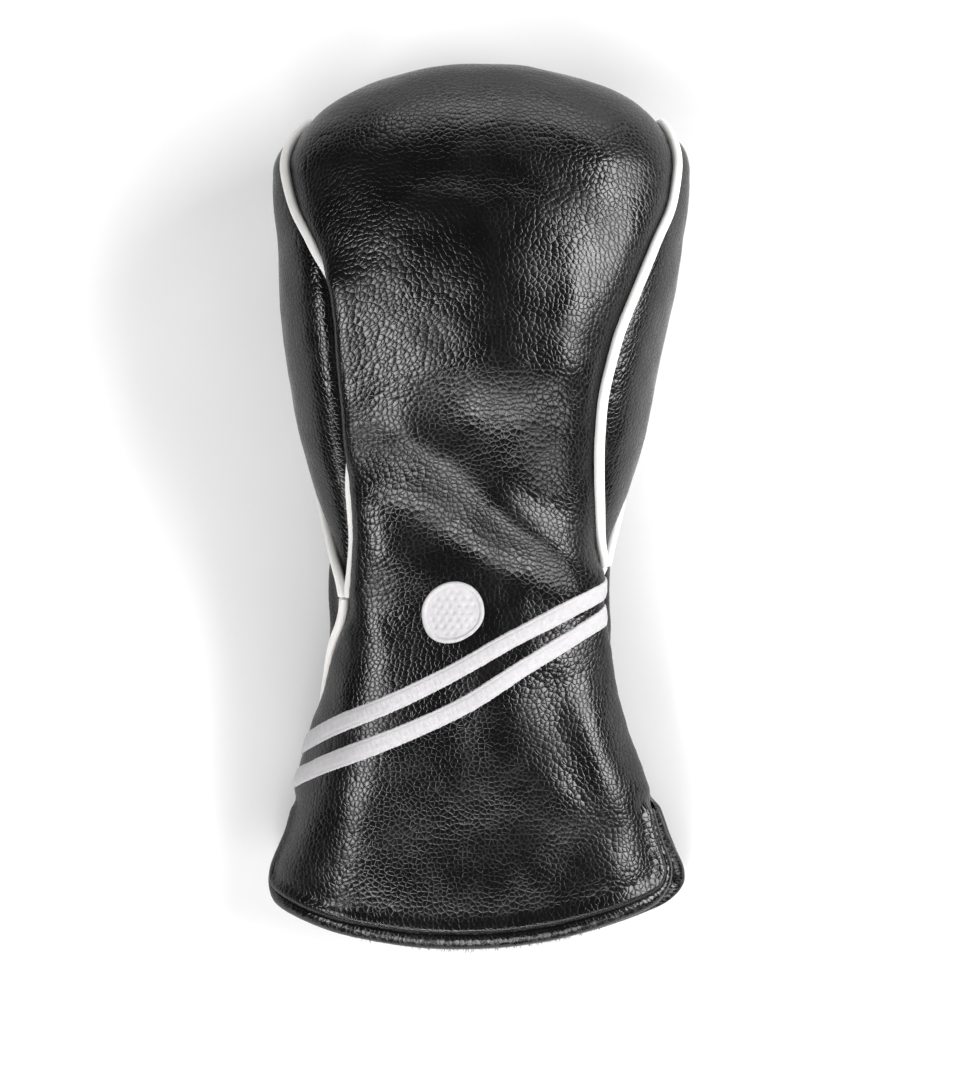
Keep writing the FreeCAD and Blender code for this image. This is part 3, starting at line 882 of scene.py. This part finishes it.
def foam_material():
    """Grey foam with open cells."""
    f = Finish("grey_foam")
    cells = f.cells(f.grain, 1.3, "F1")
    tone = f.noise(0.1)
    f.bump(cells, 0.0004)
    f.set(Base_Color=f.mix(tone, (0.13, 0.13, 0.14), (0.2, 0.2, 0.21)))
    f.set(Roughness=f.ramp(cells, 0.0, 0.7, 0.8, 0.95))
    return f.material


def elastic_material():
    """Dark woven elastic: ribs along its length crossed by fine picks, with painted shade in the grooves
    between them.
    """
    f = Finish("woven_elastic")
    parts = f.add("ShaderNodeSeparateXYZ", None, {0: f.grain})
    ribs = f.math("SINE", f.math("MULTIPLY", parts.outputs["Y"], 3.6))
    picks = f.math("SINE", f.math("MULTIPLY", parts.outputs["X"], 7.0))
    weave = f.math("MULTIPLY_ADD", picks, 0.4, ribs)
    f.bump(weave, 0.00015)
    # Painted shade: the colour follows the weave's height, darker in its grooves and lighter on its rib
    # tops.
    f.set(Base_Color=f.mix(f.ramp(weave, -1.4, 1.4), (0.02, 0.02, 0.022), (0.06, 0.06, 0.065)))
    f.set(Roughness=f.ramp(weave, -1.4, 1.4, 0.9, 0.7))
    return f.material


def floor_material():
    """A plain white paper sweep."""
    f = Finish("white_sweep")
    tone = f.noise(0.02, 2.0)
    f.set(Base_Color=f.mix(tone, (0.82, 0.82, 0.82), (0.85, 0.85, 0.85)), Roughness=0.9)
    f.set(Emission_Color=(1, 1, 1, 1), Emission_Strength=FLOOR_GLOW)
    return f.material


FINISHES = {
    "leather": leather_material("pebbled_leather", 1.85, 0.0001, (0.0105, 0.0105, 0.011), 0.22),
    "binding_leather": leather_material("binding_leather", 1.6, 0.00008, (0.0105, 0.0105, 0.011), 0.22),
    "piping": piping_material(),
    "embroidery": thread_material(),
    "lining": fleece_material(),
    "padding": foam_material(),
    "elastic": elastic_material(),
}


def dress(piece, slot, *nodes):
    """Gives a piece its finish, and hides the CAD nodes that it rebuilds."""
    piece.data.materials.append(FINISHES[slot])
    if nodes:
        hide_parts(*nodes)
    return piece


def hang(piece, bends):
    """Fixes a piece to the cover, or, for a piece meant to bend to the mouth flap, only bakes its place
    into its mesh and leaves it unattached.
    """
    if not bends:
        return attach(piece, "cover")
    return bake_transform(piece)


# ---- Leather, lining and padding ----

def tongue_columns(step):
    """Shares of the tongue's half width: even, then closing up round the hem's corners."""
    straight = CUT_HALF_ARC - CUT_RADIUS
    turns = np.radians(np.linspace(0, 90, int(14 / step) + 3)[1:])
    half = [np.linspace(0, straight, int(straight / step)), straight + CUT_RADIUS * np.sin(turns)]
    half = np.concatenate(half) / CUT_HALF_ARC
    return np.concatenate([-half[:0:-1], half])


def tongue_bottom(panel, fractions):
    """The station of the tongue's cut edge for each column."""
    out = np.abs(fractions) * CUT_HALF_ARC
    round_corner = np.maximum(out - CUT_HALF_ARC + CUT_RADIUS, 0)
    up = CUT_RADIUS - np.sqrt(np.maximum(CUT_RADIUS**2 - round_corner**2, 0))
    return HEM_Y[panel] + HEM_SWEEP / TONGUE_HALF_ARC**2 * out**2 + CUT_INSET + up


def even(first, last, step):
    """Evenly spaced values, about a step apart, both ends in."""
    return np.linspace(first, last, max(2, int(round(abs(last - first) / step)) + 1))


def panel_skin(panel, step, edge_gap, low_y=None):
    """The front or back panel's grid, from its hem or from low_y to the seam behind the crown."""
    fractions = tongue_columns(step)
    stations = []
    if low_y is None:
        bottom = tongue_bottom(panel, fractions)
        for share in np.linspace(1, 0, int(52 / step))[:-1]:
            stations.append(NOTCH_Y + (bottom - NOTCH_Y) * share)
        low_y = NOTCH_Y
    stations += list(even(low_y, CROWN_START_Y, step))
    if panel == "front":
        turns = even(0, CROSS_SEAM_TURN - 1.2, step * 1.6)[1:]
    else:
        turns = 180 - even(0, 180 - CROSS_SEAM_TURN - 1.2, step * 1.6)[1:]
    return Skin(panel, stations, turns, fractions, edge_gap)


def gusset_skin(side, step, edge_gap, low_y=None):
    """A gusset's grid, from its tip or from low_y to its rounded end."""
    if low_y is None:
        low_y = GUSSET_TIP_Y[side] + GUSSET_STARTS_AT[side]
    fractions = np.sin(np.radians(np.linspace(-90, 90, int(66 / step))))
    turns = even(0, GUSSET_LAST_TURN, step * 3)[1:]
    return Skin(side, even(low_y, CROWN_START_Y, step), turns, fractions, edge_gap)


def lining_outer(y):
    """Depth of the lining's outer face."""
    return smooth(LINING_DEPTH, y)


def lining_inner(y):
    """Depth of the lining's inner face."""
    return lining_outer(y) + LINING


def padding_inner(y):
    """Depth of the padding's inner face."""
    return lining_outer(y) - LAYER_GAP


def add_layers(name, skin, seed, bends, leathers, linings):
    """A strip's leather, fleece and foam; `skin` makes its grid from a step and an edge gap."""
    leather = skin(FINE, LEATHER_EDGE_GAP).layer(name + "_leather", 0, LEATHER)
    hang(dress(leather, "leather", *leathers), bends)
    fleece = skin(1.25 * FINE, FLEECE_EDGE_GAP)
    fleece = fleece.layer(name + "_fleece", lining_outer, lining_inner, FLEECE_ROUGHNESS, seed)
    hang(dress(fleece, "lining", *linings), bends)
    foam = skin(COARSE, FOAM_EDGE_GAP, PADDING_START_Y)
    foam = foam.layer(name + "_foam", LEATHER + LAYER_GAP, padding_inner)
    hang(dress(foam, "padding", name + "_padding"), False)


def add_panel(panel):
    """One panel's leather, lining, padding and elastic."""
    flap = panel + "_flap"
    linings = (panel + "_lining", flap + "_lining")
    skin = partial(panel_skin, panel)
    add_layers(panel, skin, 31, panel == "front", (panel + "_panel", flap), linings)
    stations = even(ELASTIC_LOW_Y, ELASTIC_HIGH_Y, COARSE / 2)
    tape = Skin(panel, stations, [], even(-1, 1, COARSE / 90), ELASTIC_EDGE_GAP)
    tape = tape.layer(panel + "_elastic_tape", ELASTIC_DEPTH, ELASTIC_DEPTH + ELASTIC)
    hang(dress(tape, "elastic", panel + "_neck_elastic"), False)


def add_gusset(side):
    """One gusset's leather, lining and padding."""
    name = SIDES[side] + "_gusset"
    add_layers(name, partial(gusset_skin, side), 37, False, (name,), (name + "_lining",))


# ---- Piping ----

def seam_path(side, which, stations, depth):
    """Points along a seam line."""
    front, back = (panel_edge(panel, side, stations) for panel in ("front", "back"))
    angle = {"front": front, "back": back, "side": (front + back) / 2}[which]
    return section_points(stations, section_turn(stations, side_angle(side, angle)), depth)


def add_piping(side):
    """A gusset's piping, up its front seam, over and down its back seam, and the side seam's below it."""
    tip = GUSSET_TIP_Y[side]
    stations = np.arange(tip + 0.6, CROWN_START_Y, 1.5)
    up = seam_path(side, "front", stations, sunk("front", side, stations) - PIPING_PROUD)
    over = np.array([crown_corner(side, turn, -PIPING_PROUD) for turn in np.linspace(0, 180, 61)])
    down = seam_path(side, "back", stations[::-1], -PIPING_PROUD)
    path = softened(spaced(np.concatenate([up, over, down]), PIPING_STEP), 4)
    gusset = tube_piece(SIDES[side] + "_gusset_welt", path)
    hang(dress(gusset, "piping", SIDES[side] + "_gusset_piping"), False)
    stations = np.arange(tip + 2.2, NOTCH_Y + 1, -1.5)
    down = seam_path(side, "side", stations, sunk("side", side, stations) - PIPING_PROUD)
    path = softened(spaced(down, PIPING_STEP), 4)
    lower = tube_piece(SIDES[side] + "_side_welt", path)
    hang(dress(lower, "piping", SIDES[side] + "_side_piping"), False)


def tube_piece(name, path):
    """A covered welt along a path, rounded off at both ends."""
    along = chain(path)
    from_end = np.minimum(along, along[-1] - along)
    radius = PIPING_RADIUS * np.sqrt(np.clip(1 - (1 - np.minimum(from_end / 1.6, 1)) ** 2, 0.02, 1))
    rings = tube_rings(path, radius, PIPING_SIDES)
    around = np.linspace(0, 2 * np.pi * PIPING_RADIUS, PIPING_SIDES, endpoint=False)
    return swept(name, rings, around, along)


# ---- Hem bindings ----

def mouth_edge(panel, inset, count):
    """Places along a tongue's edge, `inset` from its outline, as (share across, station)."""
    radius = HEM_CORNER_RADIUS - inset
    side = TONGUE_HALF_ARC - SIDE_EDGE_GAP - inset
    out = np.linspace(0, side - radius, 60)
    turns = np.radians(np.linspace(2, 90, 45))
    out = np.concatenate([out, side - radius + radius * np.sin(turns), [side]])
    rise = np.concatenate([np.zeros(60), radius * (1 - np.cos(turns)), [0]])
    y = HEM_Y[panel] + HEM_SWEEP / TONGUE_HALF_ARC**2 * out**2 + inset + rise
    y[-1] = NOTCH_Y - 0.4
    half = np.stack([out, y, 0 * y], -1)
    mirrored = half[:0:-1] * (-1, 1, 1)
    places = np.concatenate([mirrored, half])
    passed = chain(places)
    at = np.linspace(0, passed[-1], count)
    return np.interp(at, passed, places[:, 0]) / TONGUE_HALF_ARC, np.interp(at, passed, places[:, 1]), at


def add_binding(panel):
    """The strip of leather turned round a tongue's edge, from notch to notch."""
    count = int(TONGUE_EDGE_LENGTH / FINE)
    rings = []
    for inset, depth in BINDING_SECTION:
        across, y, along = mouth_edge(panel, inset, count)
        rings.append(skin_points(panel, across, y, np.full(count, float(depth))))
    rings = np.swapaxes(np.array(rings), 0, 1)
    if panel == "back":
        rings = rings[:, ::-1]
    binding = swept(panel + "_binding", rings, np.arange(len(BINDING_SECTION)) * 0.9, along, 70)
    hang(dress(binding, "binding_leather", panel + "_hem_binding"), panel == "front")


# ---- Fleece edge ----

def add_pile(panel, count, seed):
    """Loose pile of the lining, sticking out past the hem's inner edge."""
    rng = np.random.default_rng(seed)
    inset = rng.uniform(0.4, 3.4, count)
    across, y, _ = mouth_edge(panel, 1.5, 2000)
    pick = rng.integers(0, 2000, count)
    across, y = across[pick], y[pick] + (inset - 1.5) * 0.7
    depth = rng.uniform(3.7, 4.6, count)
    roots = skin_points(panel, across, y, depth)
    deeper = skin_points(panel, across, y, depth + 1.0)
    outward = unit(np.stack([-across * (np.abs(across) > 0.8), np.full(count, -0.8), np.zeros(count)], -1))
    lean = outward * rng.uniform(0.2, 1.4, count)[:, None] + unit(deeper - roots) * 0.6
    lean = unit(lean + rng.normal(0, 0.45, (count, 3)))
    curl = rng.normal(0, 0.5, (count, 3))
    length = rng.uniform(1.0, 2.6, count)[:, None]
    points = []
    for t, width in ((0.0, 0.16), (0.45, 0.13), (0.8, 0.08), (1.0, 0.01)):
        centre = roots + lean * length * t + curl * length * 0.4 * t * t
        for turn in (0, 120, 240):
            offset = np.array((math.cos(math.radians(turn)), 0.3, math.sin(math.radians(turn))))
            points.append(centre + offset * width)
    uv = np.zeros((count * 12, 2))
    uv[:, 0] = np.repeat(across * TONGUE_HALF_ARC, 12)
    points = np.stack(points, 1).reshape(-1, 3)
    pile = make_mesh(panel + "_hem_pile", points, pile_faces(count), uv, 180)
    hang(dress(pile, "lining"), panel == "front")


def pile_faces(count):
    """Faces of three-sided hairs, each with four rings of three points."""
    first = (np.arange(count) * 12)[:, None]
    faces = []
    for level in range(3):
        for k in range(3):
            a, b = level * 3 + k, level * 3 + (k + 1) % 3
            faces.append(np.concatenate([first + a, first + b, first + b + 3, first + a + 3], 1))
    roots = np.concatenate([first + 2, first + 1, first], 1)
    tips = np.concatenate([first + 9, first + 10, first + 11], 1)
    return np.concatenate(faces).tolist() + roots.tolist() + tips.tolist()


# ---- Embroidery ----

def front_share(distance, y):
    """The share across the front panel at a distance round it from its middle, +X side positive."""
    return -distance / np.interp(y, *half_widths("front"))


def satin_lift(along, lateral):
    """How far a stripe's stitches stand off the leather, with a row of needle holes inside each edge."""
    phase = along[:, None] / THREAD_PITCH + 0.35 * lateral[None, :]
    thread = np.abs(np.sin(np.pi * phase))
    holes = np.exp(-(((np.abs(lateral) - STRIPE_ROW_OF_HOLES) / 0.07) ** 2))[None, :]
    dome = (1 - lateral**4)[None, :] ** 0.5
    dents = np.exp(-(((np.abs(lateral) - 0.2) / 0.15) ** 2))[None, :] * (np.sin(np.pi * phase * 0.5) > 0.6)
    return 0.1 + (STITCH_HEIGHT - 0.15) * dome + 0.1 * thread * dome - 0.2 * holes - 0.12 * dents


def add_stripe(name, centre_line):
    """A raised band of satin stitch across the front panel, its ends cut along the seams."""
    step = THREAD_PITCH / 4
    distance = np.arange(centre_line[0][0], centre_line[-1][0], step)
    middle = smooth(centre_line, distance)
    slope = np.gradient(middle, distance)
    along = np.concatenate([[0], np.cumsum(np.hypot(np.diff(distance), np.diff(middle)))])
    lateral = np.array(STRIPE_COLUMNS)
    square = ease(np.minimum(along, along[-1] - along) / 8)[:, None]
    stretch = np.hypot(1, slope)[:, None]
    rng = np.random.default_rng(len(name))
    ragged = rng.uniform(-0.11, 0.11, int(along[-1] / THREAD_PITCH) + 3)[(along / THREAD_PITCH).astype(int)]
    reach = lateral[None, :] * STRIPE_WIDTH / 2 + np.where(np.abs(lateral) > 0.9, ragged[:, None], 0)
    d = distance[:, None] - square * slope[:, None] * reach / stretch
    y = middle[:, None] + reach * (square / stretch + (1 - square) * stretch)
    uv = np.stack(np.broadcast_arrays(along[:, None], reach), -1)
    tops, bottoms = stitched(d, y, satin_lift(along, lateral), 0.995)
    hang(dress(slab(name + "_satin", tops, bottoms, 1, uv, 75), "embroidery", name), False)


def stitched(distance, y, lift, widest=1.0):
    """Grids of points over and just under the front leather, for stitches that stand `lift` off it."""
    flat_y = y.ravel()
    across = np.clip(front_share(distance.ravel(), flat_y), -widest, widest)
    under = np.full(len(flat_y), STITCH_ROOT)
    grids = (skin_points("front", across, flat_y, depth) for depth in (-lift.ravel(), under))
    return [grid.reshape(y.shape + (3,)) for grid in grids]


def ball_lift(dx, dy, radii, turns):
    """How far the ball's stitches stand off the leather: rows with dimples, in a round satin border."""
    dimple = np.zeros(dx.shape)
    for i in range(-5, 6):
        for j in range(-5, 6):
            x, y = (i + 0.5 * (j % 2)) * DIMPLE_PITCH, j * DIMPLE_PITCH * 0.866
            if math.hypot(x, y) < EMBLEM_RADIUS - 2.6:
                dimple += np.exp(-((np.hypot(dx - x, dy - y) / DIMPLE_RADIUS) ** 2))
    rows = np.abs(np.sin(np.pi * (dy - 0.2 * dx) / THREAD_PITCH))
    spokes = np.abs(np.sin(turns * 74))
    border = ease((radii - EMBLEM_RADIUS + EMBLEM_BORDER) / 0.25)
    rounded = np.sqrt(np.clip(1 - (radii - EMBLEM_RADIUS + EMBLEM_BORDER / 2) ** 2, 0, 1))
    fill = 0.55 + 0.08 * rows - 0.32 * dimple
    rim = 0.2 + 0.75 * rounded + 0.09 * spokes * rounded
    return fill * (1 - border) + rim * border


def add_ball_emblem():
    """A stitched golf ball above the stripes, as a disc of rings."""
    rings = int(EMBLEM_RADIUS / (0.2))
    sides = 300
    radii = np.linspace(0.05, EMBLEM_RADIUS, rings)[:, None]
    turns = np.linspace(0, 2 * np.pi, sides + 1)[None, :]
    dx, dy = radii * np.cos(turns), radii * np.sin(turns)
    distance, station = EMBLEM_CENTRE
    tops, bottoms = stitched(distance + dx, station + dy, ball_lift(dx, dy, radii, turns))
    points, faces = disc_faces(tops, bottoms)
    uv = np.stack([dx[:, :-1], dy[:, :-1]], -1).reshape(-1, 2)
    uv = np.concatenate([uv, uv, [[0, 0], [0, 0]]])
    emblem = make_mesh("ball_emblem_stitching", points, faces, uv, 75)
    hang(dress(emblem, "embroidery", "ball_emblem"), False)


def disc_faces(tops, bottoms):
    """Points and faces of a closed disc from two polar grids, whose last column repeats the first."""
    tops, bottoms = tops[:, :-1], bottoms[:, :-1]
    rings, sides = tops.shape[:2]
    index = np.arange(rings * sides).reshape(rings, sides)
    ahead = np.roll(index, -1, axis=1)
    quads = np.stack([index[:-1], index[1:], ahead[1:], ahead[:-1]], -1).reshape(-1, 4)
    count = rings * sides
    walls = np.stack([index[-1], index[-1] + count, ahead[-1] + count, ahead[-1]], -1)
    faces = np.concatenate([quads, quads[:, ::-1] + count, walls]).tolist()
    top, bottom = 2 * count, 2 * count + 1
    faces += [[top, int(a), int(b)] for a, b in zip(index[0], ahead[0])]
    faces += [[bottom, int(b) + count, int(a) + count] for a, b in zip(index[0], ahead[0])]
    middles = [tops[0].mean(0), bottoms[0].mean(0)]
    return np.concatenate([tops.reshape(-1, 3), bottoms.reshape(-1, 3), middles]), faces


def add_floor():
    """The plain floor that the cover lies on."""
    mesh = bpy.data.meshes.new("floor")
    half = FLOOR_HALF
    corners = [(-half, -half, 0), (half, -half, 0), (half, half, 0), (-half, half, 0)]
    mesh.from_pydata(corners, [], [(0, 1, 2, 3)])
    layer = mesh.uv_layers.new(name=GRAIN)
    layer.data.foreach_set("uv", [c / MM for corner in corners for c in corner[:2]])
    floor = bpy.data.objects.new("floor", mesh)
    floor.location.z = CAD_BOX[0].z
    mesh.materials.append(floor_material())
    bpy.context.scene.collection.objects.link(floor)


add_camera()
add_softboxes()
set_studio()
add_floor()
for side_panel in ("front", "back"):
    add_panel(side_panel)
    add_binding(side_panel)
    add_pile(side_panel, HAIRS, HAIR_SEED)
for gusset_side in SIDES:
    add_gusset(gusset_side)
    add_piping(gusset_side)
add_stripe("upper_stripe", UPPER_STRIPE)
add_stripe("lower_stripe", LOWER_STRIPE)
add_ball_emblem()
